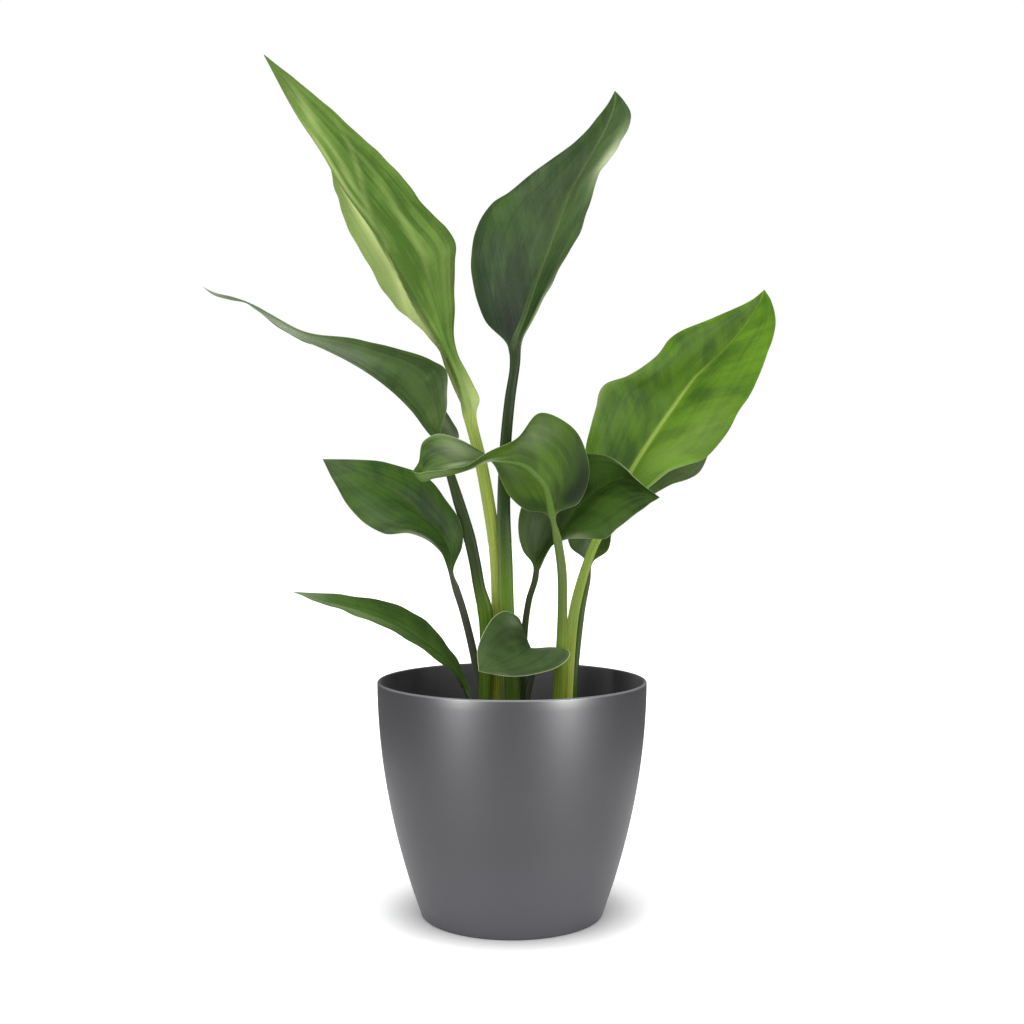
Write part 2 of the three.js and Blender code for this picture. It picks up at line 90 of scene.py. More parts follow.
class Net:
    """A node tree, with a short word for each kind of node."""

    def __init__(self, tree):
        self.tree = tree

    def feed(self, value, socket):
        if isinstance(value, bpy.types.NodeSocket):
            self.tree.links.new(value, socket)
        else:
            socket.default_value = value

    def node(self, kind, inputs, **settings):
        made = self.tree.nodes.new("ShaderNode" + kind)
        for key, value in settings.items():
            setattr(made, key, value)
        for key, value in inputs.items():
            self.feed(value, made.inputs[key])
        return made.outputs

    def maths(self, operation, first, second=0.0):
        return self.node("Math", {0: first, 1: second}, operation=operation)[0]

    def plus(self, *values):
        total = values[0]
        for value in values[1:]:
            total = self.maths("ADD", total, value)
        return total

    def minus(self, first, second):
        return self.maths("SUBTRACT", first, second)

    def times(self, first, second):
        return self.maths("MULTIPLY", first, second)

    def clamp(self, value):
        return self.node("Clamp", {0: value})[0]

    def rise(self, value, low, high):
        """0 below low, 1 above high, smooth between."""
        inputs = {"Value": value, "From Min": low, "From Max": high}
        return self.node("MapRange", inputs, interpolation_type="SMOOTHSTEP")[0]

    def mixed(self, mask, first, second, blend="MIX"):
        inputs = {0: mask, 6: first, 7: second}
        return self.node("Mix", inputs, data_type="RGBA", blend_type=blend)[2]

    def place(self):
        return self.node("TexCoord", {})["Object"]

    def up(self):
        return self.node("SeparateXYZ", {0: self.place()})[2]

    def point(self, x, y, z):
        return self.node("CombineXYZ", {0: x, 1: y, 2: z})[0]

    def mark(self, title):
        """A value that the mesh carries at each point."""
        return self.node("Attribute", {}, attribute_name=title)["Fac"]

    def noise(self, place, scale, detail=2.0):
        return self.node("TexNoise", {"Vector": place, "Scale": scale, "Detail": detail})["Fac"]

    def noise_along(self, line, scale, detail):
        inputs = {"W": line, "Scale": scale, "Detail": detail}
        return self.node("TexNoise", inputs, noise_dimensions="1D")["Fac"]


class Finish(Net):
    """A new material and its net."""

    def __init__(self, name):
        self.material = bpy.data.materials.new(name)
        self.material.use_nodes = True
        super().__init__(self.material.node_tree)

    def give(self, colour, rough, shine=0.5, height=None, relief=0.0, strength=0.8):
        """Feeds the shader; the relief is how far height 1 stands out, in metres."""
        sockets = self.tree.nodes["Principled BSDF"].inputs
        self.feed(colour, sockets["Base Color"])
        self.feed(rough, sockets["Roughness"])
        self.feed(shine, sockets["Specular IOR Level"])
        if height:
            inputs = {"Height": height, "Distance": relief, "Strength": strength}
            self.feed(self.node("Bump", inputs)[0], sockets["Normal"])
        return self.material


def new_group(name, takes, gives):
    """A shader group; takes holds each socket's first value, and a tuple is a colour."""
    tree = bpy.data.node_groups.new(name, "ShaderNodeTree")
    for title, value in takes.items():
        kind = COLOUR if isinstance(value, tuple) else NUMBER
        socket = tree.interface.new_socket(title, in_out="INPUT", socket_type=kind)
        socket.default_value = value
    for title, kind in gives.items():
        tree.interface.new_socket(title, in_out="OUTPUT", socket_type=kind)
    came_in = tree.nodes.new("NodeGroupInput")
    goes_out = tree.nodes.new("NodeGroupOutput")
    return Net(tree), came_in.outputs, goes_out.inputs


print("helpers for node trees ready")

# %% [markdown]
# ## Light
# A product studio is a white room. A wide sun gives even light from above, and two tall soft
# boxes draw the streaks on the pot and the sheen on the leaves. Shiny surfaces see the walls
# dimmer, as if dark screens stood by the camera: white walls would lay a grey veil over them.

# %% White room
ROOM_LIGHT = 0.6
SCREENED_LIGHT = 0.1
BACKDROP_WHITE = 1.0

room = bpy.data.worlds.new("white_room")
bpy.context.scene.world = room
room.use_nodes = True
room.node_tree.nodes.clear()
net = Net(room.node_tree)
ray = net.node("LightPath", {})
wall, screen, backdrop = (
    net.node("Background", {"Color": grey(1.0), "Strength": light})[0]
    for light in (ROOM_LIGHT, SCREENED_LIGHT, BACKDROP_WHITE)
)
lit = net.node("MixShader", {0: ray["Is Glossy Ray"], 1: wall, 2: screen})[0]
seen = net.node("MixShader", {0: ray["Is Camera Ray"], 1: lit, 2: backdrop})[0]
net.node("OutputWorld", {"Surface": seen})
print("room light", ROOM_LIGHT, "and seen by shiny surfaces", SCREENED_LIGHT)

# %% Soft boxes and top light
TOP_LIGHT_POWER = 2.0
TOP_LIGHT_SPREAD = math.radians(45)
TOP_LIGHT_WAY = Vector((0.03, 0.14, -1.0))


def point_lamp(lamp, way):
    lamp.rotation_euler = way.to_track_quat("-Z", "Y").to_euler()


def soft_box(name, place, aim, size, power):
    """A screen of light that only shiny surfaces see: it draws streaks and nothing else."""
    bpy.ops.object.light_add(type="AREA", location=place)
    lamp = bpy.context.object
    lamp.name = name
    lamp.data.shape = "RECTANGLE"
    lamp.data.size, lamp.data.size_y = size
    lamp.data.energy = power
    point_lamp(lamp, Vector(aim) - Vector(place))
    lamp.visible_diffuse = False


soft_box("left_soft_box", (-1.3, -1.45, 0.55), (0, 0, 0.15), (0.3, 1.1), 64)
soft_box("right_soft_box", (1.38, -1.4, 0.5), (0, 0, 0.1), (0.45, 1.0), 80)
bpy.ops.object.light_add(type="SUN", location=(-0.5, -0.8, 2.0))
top_light = bpy.context.object
top_light.name = "top_light"
top_light.data.energy = TOP_LIGHT_POWER
top_light.data.angle = TOP_LIGHT_SPREAD
point_lamp(top_light, TOP_LIGHT_WAY)
print("two soft boxes and a wide top light")

# %% [markdown]
# ## Helpers for pieces
# Every operator works on what is selected, and loading the frame leaves its nodes selected,
# so each piece starts from an empty selection. A finished piece is hung on the frame's body,
# takes its finish and hides the solid it stands for.

# %% Helpers for objects
MM = 0.001
MERGE_GAP = 1e-6


def select_nothing():
    bpy.ops.object.select_all(action="DESELECT")


def select_only(piece):
    select_nothing()
    piece.select_set(True)
    bpy.context.view_layer.objects.active = piece


def settle(piece):
    """Puts the piece's place into its mesh."""
    select_only(piece)
    bpy.ops.object.transform_apply(location=True, rotation=True, scale=True)


def edit_all():
    bpy.ops.object.mode_set(mode="EDIT")
    bpy.ops.mesh.select_all(action="SELECT")


def turn_out():
    """Turns all faces outwards and ends the editing."""
    bpy.ops.mesh.select_all(action="SELECT")
    bpy.ops.mesh.normals_make_consistent(inside=False)
    bpy.ops.object.mode_set(mode="OBJECT")


def smooth(piece, degrees):
    """Shades the piece smooth, except where it bends by more than the angle."""
    select_only(piece)
    bpy.ops.object.shade_smooth_by_angle(angle=math.radians(degrees))


def write_mark(piece, title, values):
    layer = piece.data.attributes.new(title, "FLOAT", "POINT")
    layer.data.foreach_set("value", np.ascontiguousarray(values, dtype=np.float32).ravel())


def modify(piece, kind, **settings):
    """Adds a modifier, sets it and applies it."""
    select_only(piece)
    bpy.ops.object.modifier_add(type=kind)
    modifier = piece.modifiers[-1]
    for key, value in settings.items():
        setattr(modifier, key, value)
    bpy.ops.object.modifier_apply(modifier=modifier.name)


def hand_over(piece, name, material, slot, node):
    piece.name = piece.data.name = name
    piece.data.materials.append(material)
    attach(piece, "root")
    if node:
        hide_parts(node)
    print(name, "has", len(piece.data.vertices), "points and", len(piece.data.polygons), "faces")


print("helpers for pieces ready")

# %% [markdown]
# ## Floor
# The plain white floor isn't part of the object. The camera sees the pot's contact shadow, and
# farther out the floor burns out to white, as in a product photo. Shiny surfaces see the far
# floor dim, like the walls.

# %% Floor
FLOOR_SIZE = 12.0
FLOOR_WHITE = grey(0.96)
FLOOR_PAINTED_SHADE_BY_FOOT = grey(0.92)
FLOOR_PAINTED_GLOW = grey(1.3)
FLOOR_SCREENED = grey(0.2)

select_nothing()
bpy.ops.mesh.primitive_plane_add(size=FLOOR_SIZE, location=(0, 0, 0))
floor = bpy.context.object
floor.name = "studio_floor"
net = Finish("white_studio_floor")
from_pot = net.node("VectorMath", {0: net.place()}, operation="LENGTH")["Value"]
# painted for the camera only: shade round the pot's foot, and beyond it a glow brighter than the
# light gives
painted_shade_and_glow = net.mixed(net.rise(from_pot, 0.06, 0.096), FLOOR_PAINTED_SHADE_BY_FOOT, FLOOR_PAINTED_GLOW)
screened = net.mixed(net.rise(from_pot, 0.25, 0.6), FLOOR_WHITE, FLOOR_SCREENED)
ray = net.node("LightPath", {})
white = net.mixed(ray["Is Camera Ray"], FLOOR_WHITE, painted_shade_and_glow)
white = net.mixed(ray["Is Glossy Ray"], white, screened)
rough = net.plus(net.times(net.noise(net.place(), 9.0), 0.1), 0.6)
floor.data.materials.append(net.give(white, rough, shine=0.0))
print("floor", FLOOR_SIZE, "m across")

# %% [markdown]
# ## Fine grain
# Moulded plastic shows faint level lines and a fine pebble. This effect is built once as a
# node group, which gives a mask for colour and a height for roughness and bumps.

# %% Fine grain
def build_fine_grain():
    takes = {"Line Scale": 400.0, "Pebble Scale": 900.0, "Line Share": 0.5}
    net, take, give = new_group("fine_grain", takes, {"Height": NUMBER, "Cloud": NUMBER})
    lines = net.noise_along(net.times(net.up(), take["Line Scale"]), 1.0, 3.0)
    pebble = net.noise(net.place(), take["Pebble Scale"])
    inputs = {0: take["Line Share"], 2: pebble, 3: lines}
    net.feed(net.node("Mix", inputs, data_type="FLOAT")[0], give["Height"])
    net.feed(net.noise(net.place(), 28.0, 3.0), give["Cloud"])
    return net.tree


fine_grain = build_fine_grain()
print("group", fine_grain.name)

# %% [markdown]
# ## Pot
# The real pot has a thin wall that leans in, more towards the foot, and a small round lip. It
# could be spun from a drawn profile. Here a circle is pulled up ring by ring, as on a potter's
# wheel, because each ring's size then comes from the solid's own wall curve.

# %% Pot: sizes and wall curve
POT_HEIGHT = 155.0
RIM_RADIUS = 90.0
POT_TAPER = 1.5
POT_BELLY = 28.0
POT_WALL = 2.4
POT_FLOOR = 3.0
FOOT_ROUND = 1.6
POT_SIDES = 160
FOOT_STEPS, OUTER_STEPS, LIP_STEPS, INNER_STEPS = 6, 24, 12, 16


def pot_radius(z):
    down = (POT_HEIGHT - z) / POT_HEIGHT
    return RIM_RADIUS - POT_TAPER * down - POT_BELLY * down * down


def pot_rings():
    """Radius and height of each ring, from the foot up the outside and down the inside."""
    rings = []
    for i in range(FOOT_STEPS + 1):
        turn = i / FOOT_STEPS * math.pi / 2
        radius = pot_radius(FOOT_ROUND) - FOOT_ROUND * (1 - math.sin(turn))
        rings.append((radius, FOOT_ROUND * (1 - math.cos(turn))))
    lip = POT_WALL / 2
    lip_height = POT_HEIGHT - lip
    for i in range(1, OUTER_STEPS + 1):
        z = FOOT_ROUND + (lip_height - FOOT_ROUND) * i / OUTER_STEPS
        rings.append((pot_radius(z), z))
    lip_radius = pot_radius(lip_height) - lip
    for i in range(1, LIP_STEPS):
        turn = i / LIP_STEPS * math.pi
        rings.append((lip_radius + lip * math.cos(turn), lip_height + lip * math.sin(turn)))
    for i in range(INNER_STEPS + 1):
        z = lip_height - (lip_height - POT_FLOOR) * i / INNER_STEPS
        rings.append((pot_radius(z) - POT_WALL, z))
    return rings


print("wall radius at foot and rim:", pot_radius(0), pot_radius(POT_HEIGHT))

# %% Pot: pull the wall up from a circle
def pull_rings(rings, sides):
    """Adds a filled circle of the first ring's size and extrudes it through the others."""
    select_nothing()
    radius, z = rings[0]
    bpy.ops.mesh.primitive_circle_add(
        vertices=sides, radius=radius * MM, location=(0, 0, z * MM), fill_type="NGON"
    )
    piece = bpy.context.object
    settle(piece)
    edit_all()
    for new_radius, new_z in rings[1:]:
        step = {"value": (0, 0, (new_z - z) * MM)}
        bpy.ops.mesh.extrude_region_move(TRANSFORM_OT_translate=step)
        grow = new_radius / radius
        bpy.ops.transform.resize(value=(grow, grow, 1), center_override=(0, 0, new_z * MM))
        radius, z = new_radius, new_z
    edit_all()
    bpy.ops.mesh.remove_doubles(threshold=MERGE_GAP)
    turn_out()
    return piece


def in_the_wall(point):
    """1 on the inside of the wall, 0 on its outside and on the lip."""
    reach, z = math.hypot(point.x, point.y) / MM, point.z / MM
    return float(reach < pot_radius(z) - 0.6 * POT_WALL and z > POT_FLOOR - 0.5)


pot = pull_rings(pot_rings(), POT_SIDES)
write_mark(pot, "inside", [in_the_wall(point.co) for point in pot.data.vertices])
smooth(pot, 35)
print("pot box:", [round(v, 4) for v in pot.dimensions])

# %% [markdown]
# ## Pot finish
# The pot is satin anthracite plastic, with faint level lines and a fine pebble. A painted
# highlight lightens the rim, painted floor light makes the lower wall paler towards the foot,
# and painted shade darkens the inside of the wall, which hardly shines.

# %% Pot finish
ANTHRACITE = paint("3b3a40")
ANTHRACITE_DEEP = paint("38373d")
FOOT_PAINTED_FLOOR_LIGHT = paint("4e4d54")
RIM_PAINTED_HIGHLIGHT = paint("868589")
SHADED_INSIDE = paint("424046")
FLOOR_LIGHT_TOP = 0.075
RIM_HIGHLIGHT_FROM, RIM_HIGHLIGHT_TO = (POT_HEIGHT - 1.5) * MM, (POT_HEIGHT - 0.4) * MM

net = Finish("satin_anthracite_plastic")
scales = {"Line Scale": 1500.0, "Pebble Scale": 1600.0, "Line Share": 0.65}
grain = net.node("Group", scales, node_tree=fine_grain)
colour = net.mixed(net.rise(grain["Cloud"], 0.3, 0.7), ANTHRACITE, ANTHRACITE_DEEP)
# painted light from the white floor, reflected in the lower wall: paler towards the foot
colour = net.mixed(net.rise(net.up(), FLOOR_LIGHT_TOP, 0.0), colour, FOOT_PAINTED_FLOOR_LIGHT)
# painted highlight on the top of the lip
at_rim = net.rise(net.up(), RIM_HIGHLIGHT_FROM, RIM_HIGHLIGHT_TO)
colour = net.mixed(net.times(at_rim, 0.8), colour, RIM_PAINTED_HIGHLIGHT)
in_wall = net.mark("inside")
# painted shade inside the pot, where the wall shades itself
colour = net.mixed(in_wall, colour, SHADED_INSIDE)
rough = net.plus(net.times(grain["Height"], 0.12), 0.36, net.times(in_wall, 0.6))
plastic = net.give(colour, rough, 0.8, grain["Height"], relief=0.00006, strength=0.6)
hand_over(pot, "pot_turned", plastic, "pot_plastic", "pot")

# %% [markdown]
# ## Leaf shape
# A leaf of this plant is one grown thing: a firm stalk runs on as the midrib and opens into a
# folded blade. It could be sculpted, but three smooth curves say it all: the midrib and the
# two margins. A grid is wrapped round them like a sleeve, ring after ring, with a rounded rib
# below, a shallow groove above and thin margins.

# %% Leaf: smooth curves through given points
def smooth_curve(points, places):
    """Points on a smooth curve; place 2.5 lies halfway from the third to the fourth point."""
    points = np.array(points, float)
    wide = np.vstack([2 * points[0] - points[1], points, 2 * points[-1] - points[-2]])
    made = []
    for place in places:
        i = min(int(place), len(points) - 2)
        share = place - i
        p0, p1, p2, p3 = wide[i : i + 4]
        gap1 = max(np.linalg.norm(p2 - p1) ** 0.5, 1e-3)
        gap0 = np.linalg.norm(p1 - p0) ** 0.5 or gap1
        gap2 = np.linalg.norm(p3 - p2) ** 0.5 or gap1
        start = ((p1 - p0) / gap0 - (p2 - p0) / (gap0 + gap1) + (p2 - p1) / gap1) * gap1
        end = ((p2 - p1) / gap1 - (p3 - p1) / (gap1 + gap2) + (p3 - p2) / gap2) * gap1
        square = -3 * p1 + 3 * p2 - 2 * start - end
        cube = 2 * p1 - 2 * p2 + start + end
        made.append(p1 + start * share + square * share**2 + cube * share**3)
    return np.array(made)


def unit(vectors):
    return vectors / np.maximum(np.linalg.norm(vectors, axis=-1, keepdims=True), 1e-9)


# %% Leaf: rows of margins, midrib and thickness
STALK_DOME = 0.55
RIB_TIP_RADIUS = 0.6
RIB_TIP_DEPTH = 0.15


def leaf_rows(stalk, blade, facing, arch, soft):
    """The three curves at each given row, with the sizes there: rib radius, depth and
    dome, arch of each half, softness of the fold."""
    guide = [row[:3] for row in stalk] + [blade[0][3:6]]
    lines, sizes = [], []
    for i, (*centre, half_width, half_depth) in enumerate(stalk):
        centre = np.array(centre, float)
        ends = smooth_curve(guide, [max(0, i - 0.001), i + 0.001])
        aside = unit(np.cross(ends[1] - ends[0], facing)) * half_width
        lines.append((centre - aside, centre, centre + aside))
        sizes.append((half_width, half_depth, half_depth * STALK_DOME, 0, 0, 0))
    top_radius, top_depth, top_dome = sizes[-1][:3]
    for i, row in enumerate(blade):
        gone = math.sqrt(i / (len(blade) - 1))
        lines.append(np.resize(row, (3, 3)).astype(float))
        radius = top_radius + (RIB_TIP_RADIUS - top_radius) * gone
        depth = top_depth * 0.8 + (RIB_TIP_DEPTH - top_depth * 0.8) * gone
        bulge = (*arch, soft) if i else (0, 0, 0)
        sizes.append((radius, depth, top_dome * max(0, 0.6 - 0.4 * i), *bulge))
    left, rib, right = zip(*lines)
    return left, rib, right, np.array(sizes)


# %% Leaf: sections
STALK_STEPS = 8
BLADE_ROW_STEPS = 14
RIB_STRIPS = 5
BLADE_STRIPS = 13
TIP_REACH = 0.985
RIPPLE = 0.35
RIPPLE_LENGTHS = 5.3, 2.9


def section_places(stalk_count, row_count):
    places = []
    for row in range(row_count - 1):
        steps = STALK_STEPS if row < stalk_count else BLADE_ROW_STEPS
        places += [row + k / steps for k in range(steps)]
    places[-1] = row_count - 2 + TIP_REACH
    return places


def half_section(rib, edge, side, along, flat, run, size, on_blade, phase):
    """Points from the rib to one margin, their share, way from the rib and way to the rim."""
    width = max(np.linalg.norm(edge - rib), 1e-6)
    across = (edge - rib) * side
    up = unit(np.cross(across, along))
    bend = (flat * width - across) * side * size[5]
    rib_share = min(0.6, size[0] / width)
    on_rib = np.linspace(0, rib_share, RIB_STRIPS + 1)[:-1]
    s = np.concatenate([on_rib, rib_share + (1 - rib_share) * np.linspace(0, 1, BLADE_STRIPS + 1)])
    bulge = size[3 if side < 0 else 4] * width * 4 * s * (1 - s)
    long, short = RIPPLE_LENGTHS
    wave = math.sin(run / long + phase + side) + 0.7 * math.sin(run / short + 2 * phase - side)
    ripple = RIPPLE * on_blade * min(1.0, width / 15) * wave * s**3
    points = rib + np.outer(s, edge - rib) + np.outer(bulge + ripple, up)
    points = points + np.outer(s * (1 - s) ** 2, bend)
    order = slice(None, None, -1) if side < 0 else slice(1, None)
    return [part[order] for part in (points, s * side, s * width, (1 - s) * width)]


def leaf_sections(stalk, blade, facing, arch, soft, phase):
    """Middle points of the leaf as rows by columns, and what shape and paint need there."""
    left, rib, right, sizes = leaf_rows(stalk, blade, facing, arch, soft)
    places = section_places(len(stalk), len(rib))
    left, rib, right = (smooth_curve(line, places) for line in (left, rib, right))
    whole = np.arange(len(sizes))
    sizes = np.array([np.interp(places, whole, column) for column in sizes.T]).T
    along = unit(np.gradient(rib, axis=0))
    lengths = np.concatenate([[0], np.cumsum(np.linalg.norm(np.diff(rib, axis=0), axis=1))])
    runs = lengths - np.interp(len(stalk), places, lengths)
    rows = []
    for i, place in enumerate(places):
        flat = unit(right[i] - left[i])
        on_blade = min(1.0, max(0.0, (place - len(stalk)) / 1.5))
        halves = [
            half_section(rib[i], edge, side, along[i], flat, runs[i], sizes[i], on_blade, phase)
            for edge, side in ((left[i], -1), (right[i], 1))
        ]
        rows.append([np.concatenate(parts) for parts in zip(*halves)])
    spots, share, off_rib, to_rim = (np.array(column) for column in zip(*rows))
    marks = {"side_share": share, "off_rib": off_rib, "to_rim": to_rim}
    marks["run"] = np.repeat(runs[:, None], share.shape[1], axis=1)
    return spots, marks, sizes, np.array(places)


# %% Leaf: a skin round the sections
BLADE_THICKNESS = 0.45
RIM_THINNING = 0.55
GROOVE_DEPTH = 0.28
GROOVE_WIDTH = 0.55


def around(values):
    """Values of the section points, repeated for the lower face and closed to a ring."""
    both = np.concatenate([values, values[:, ::-1]], axis=1)
    return np.concatenate([both, both[:, :1]], axis=1)


def leaf_skin(spots, marks, sizes, places, stalk_count):
    """Upper and lower face as one ring of points for each section, in millimetres."""
    up = unit(np.cross(unit(np.gradient(spots, axis=1)), unit(np.gradient(spots, axis=0))))
    widths = marks["off_rib"] + marks["to_rim"]
    radius, depth, dome = sizes[:, 0:1], sizes[:, 1:2], sizes[:, 2:3]
    off = np.minimum(1, marks["off_rib"] / np.minimum(radius, widths))
    bulge = np.sqrt(1 - off**2)
    on_blade = np.clip(places - stalk_count, 0, 1)[:, None]
    rim = np.abs(marks["side_share"]) ** 6 * on_blade
    to_tip = np.clip((places[-1] - places) / 0.6, 0, 1)[:, None]
    thin = BLADE_THICKNESS * (1 - RIM_THINNING * rim) * (0.3 + 0.7 * to_tip)
    groove = np.exp(-((marks["off_rib"] / (GROOVE_WIDTH * radius)) ** 2)) * on_blade
    upper = spots + up * (dome * bulge - GROOVE_DEPTH * depth * groove)[..., None]
    lower = spots - up * (thin + depth * bulge)[..., None]
    ring = np.concatenate([upper, lower[:, ::-1]], axis=1)
    return np.concatenate([ring, ring[:, :1]], axis=1)


def soft_spots(marks, wanted):
    """Adds up soft oval spots. Each holds, in hundredths: side share, run share, reach to the
    left, to the right and in run, strength and, if it leans, the lean."""
    run = marks["run"] / marks["run"][-1, 0]
    total = np.zeros_like(run)
    for spot in wanted:
        share, place, left_reach, right_reach, long, strength, lean = np.array((*spot, 0))[:7] / 100
        aside = marks["side_share"] - share - lean * (run - place)
        aside = aside / np.where(aside < 0, left_reach, right_reach)
        total += strength * np.exp(-(aside**2) - ((run - place) / long) ** 2)
    return total


# %% Leaf: wrap a grid round the sections
def close_holes():
    """Fills the open ring at the foot and at the tip."""
    bpy.ops.mesh.select_all(action="DESELECT")
    bpy.ops.mesh.select_mode(type="EDGE")
    bpy.ops.mesh.select_non_manifold(extend=False, use_wire=False, use_multi_face=False)
    bpy.ops.mesh.edge_face_add()
    bpy.ops.mesh.select_mode(type="VERT")


def build_leaf(stalk, blade, facing, arch, soft, pale, deep, phase):
    spots, marks, sizes, places = leaf_sections(stalk, blade, facing, arch, soft, phase)
    skin = leaf_skin(spots, marks, sizes, places, len(stalk)) * MM
    sections, ring = skin.shape[:2]
    select_nothing()
    bpy.ops.mesh.primitive_grid_add(x_subdivisions=ring - 1, y_subdivisions=sections - 1, size=1)
    leaf = bpy.context.object
    leaf.data.vertices.foreach_set("co", skin.ravel())
    on_blade = np.clip((places - len(stalk) + 0.6) / 1.2, 0, 1)[:, None]
    marks["blade"] = np.repeat(on_blade, spots.shape[1], axis=1)
    marks["on_rib"] = np.clip(1 - marks["off_rib"] / (1.25 * sizes[:, 0:1]), 0, 1)
    # pale spots mix pale bands with painted light, deep spots mix dark patches with painted shade
    marks["pale"], marks["deep"] = soft_spots(marks, pale), soft_spots(marks, deep)
    for title, values in marks.items():
        write_mark(leaf, title, around(values))
    under = np.zeros((sections, ring))
    under[:, ring // 2 : -1] = 1
    write_mark(leaf, "under", under)
    edit_all()
    bpy.ops.mesh.remove_doubles(threshold=MERGE_GAP)
    close_holes()
    turn_out()
    smooth(leaf, 50)
    return leaf


print("leaf steps:", STALK_STEPS, "in a stalk row,", BLADE_ROW_STEPS, "in a blade row")

# %% [markdown]
# ## Leaf finish
# The blade is satin, with fine slanted side veins, darker patches along them, long streaks
# beside the midrib, and pale margins and rib. All of it follows the leaf, so the mesh carries
# marks: share of the way to the margin, ways from rib and rim, run from the blade's base, and
# spots, pale and deep. Pale spots are pale bands and painted light, such as sheen and light
# through thin parts. Deep spots are dark patches and painted shade in creases and under folds,
# and a deep spot above 1 is nearly black painted shade, as in the hollows near a leaf's base.
# One group turns the marks into colour, roughness and height for all leaves.

# %% Leaf markings group
PAINTS = ("Blade", "Deep", "Pale", "Under", "Rib", "Rim", "Stalk", "Foot")
MARKS = ("side_share", "off_rib", "to_rim", "run", "under", "blade", "on_rib", "pale", "deep")
HOLLOW_PAINTED_SHADE = paint("0c120a")
VALUES = {"Slant": 0.9, "Bands": 0.5, "Streaks": 0.4, "Ribbed": 0.3, "Rimmed": 0.5, "Shine": 0.36}
VALUES |= {"Rib Fade From": 900.0, "Rib Fade To": 1000.0, "Rim Width": 0.5}
VALUES |= {"Turn Low": 0.14, "Turn High": 0.24, "Seed": 0.0}


def build_leaf_markings():
    takes = {title: paint("507828") for title in PAINTS} | VALUES
    gives = {"Colour": COLOUR, "Roughness": NUMBER, "Height": NUMBER}
    net, take, give = new_group("leaf_markings", takes, gives)
    plus, minus, times, rise, mixed = net.plus, net.minus, net.times, net.rise, net.mixed
    side, off_rib, to_rim, run, under, blade, on_rib, pale, deep = map(net.mark, MARKS)
    cloud, fine = net.noise(net.place(), 45.0, 4.0), net.noise(net.place(), 420.0, 3.0)
    # slanted side veins, bent a little by the cloud, other ones on each half
    slanted = plus(minus(run, times(off_rib, take["Slant"])), times(cloud, 3.0))
    line = plus(slanted, times(net.maths("SIGN", side), 37.0), take["Seed"])
    drawn_out = net.point(times(line, 0.06), times(off_rib, 0.03), take["Seed"])
    band = rise(net.noise(drawn_out, 1.0), 0.34, 0.66)
    vein = rise(net.noise_along(line, 0.9, 2.0), 0.38, 0.62)
    # long streaks beside the midrib
    drawn_out = net.point(times(side, 9.0), times(run, 0.012), take["Seed"])
    streak = rise(net.noise(drawn_out, 1.0, 3.0), 0.42, 0.66)
    # how deep the green is, with the painted shade of the deep spots, then veins, underside, rim
    # and rib
    banded = plus(times(band, take["Bands"]), times(streak, take["Streaks"]))
    deepness_with_shade = net.clamp(plus(banded, times(minus(cloud, 0.5), 1.1), deep))
    colour = mixed(deepness_with_shade, take["Blade"], take["Deep"])
    colour = mixed(times(minus(1.0, vein), 0.025), colour, take["Rib"])
    below = mixed(times(deepness_with_shade, 0.7), take["Under"], take["Deep"])
    colour = mixed(under, colour, below)
    rim = times(minus(1.0, rise(to_rim, 0.0, take["Rim Width"])), take["Rimmed"])
    colour = mixed(rim, colour, take["Rim"])
    fade = times(rise(run, take["Rib Fade From"], take["Rib Fade To"]), 0.8)
    rib = times(rise(on_rib, 0.05, 0.45), take["Ribbed"])
    colour = mixed(times(rib, minus(1.0, fade)), colour, take["Rib"])
    # the stalk: fine lengthwise fibres, another colour at its foot
    fibre = net.noise(net.point(times(side, 16.0), times(run, 0.02), under), 1.0, 3.0)
    climb = rise(net.up(), take["Turn Low"], take["Turn High"])
    stalk = mixed(climb, take["Foot"], take["Stalk"])
    stalk = mixed(times(rise(fibre, 0.4, 0.62), 0.45), stalk, take["Deep"])
    colour = mixed(rise(blade, 0.05, 0.95), stalk, colour)
    # the spots: pale ones give pale bands and painted light, deep ones above 0.9 nearly black
    # painted shade; and a fine speckle over all
    colour = mixed(net.clamp(pale), colour, take["Pale"])
    colour = mixed(times(rise(deep, 0.9, 2.1), 0.75), colour, HOLLOW_PAINTED_SHADE)
    speck = plus(times(fine, 0.14), 0.93)
    bright = net.node("CombineColor", {0: speck, 1: speck, 2: speck})[0]
    net.feed(mixed(1.0, colour, bright, "MULTIPLY"), give["Colour"])
    rough = plus(take["Shine"], times(cloud, 0.16), times(under, 0.08))
    net.feed(rough, give["Roughness"])
    # the relief: veins beside the rib, bands, specks, and fibres on the stalk
    height = times(times(vein, blade), minus(1.0, rise(on_rib, 0.0, 0.2)))
    bark = times(times(fibre, minus(1.0, blade)), 1.5)
    height = plus(height, times(band, 0.6), times(fine, 0.1), bark)
    net.feed(height, give["Height"])
    return net.tree


leaf_markings = build_leaf_markings()
print("group", leaf_markings.name, "with", len(leaf_markings.nodes), "nodes")

# %% Leaf material, and growing a leaf
VEIN_RELIEF = 0.00006
STALKS = []


def leaf_finish(name, sheen=0.04, **values):
    """A satin leaf material; values are the group's sockets, such as blade or rim_width."""
    net = Finish(name)
    inputs = {
        key.replace("_", " ").title(): paint(value) if isinstance(value, str) else value
        for key, value in values.items()
    }
    group = net.node("Group", inputs, node_tree=leaf_markings)
    return net.give(group["Colour"], group["Roughness"], sheen, group["Height"], VEIN_RELIEF)


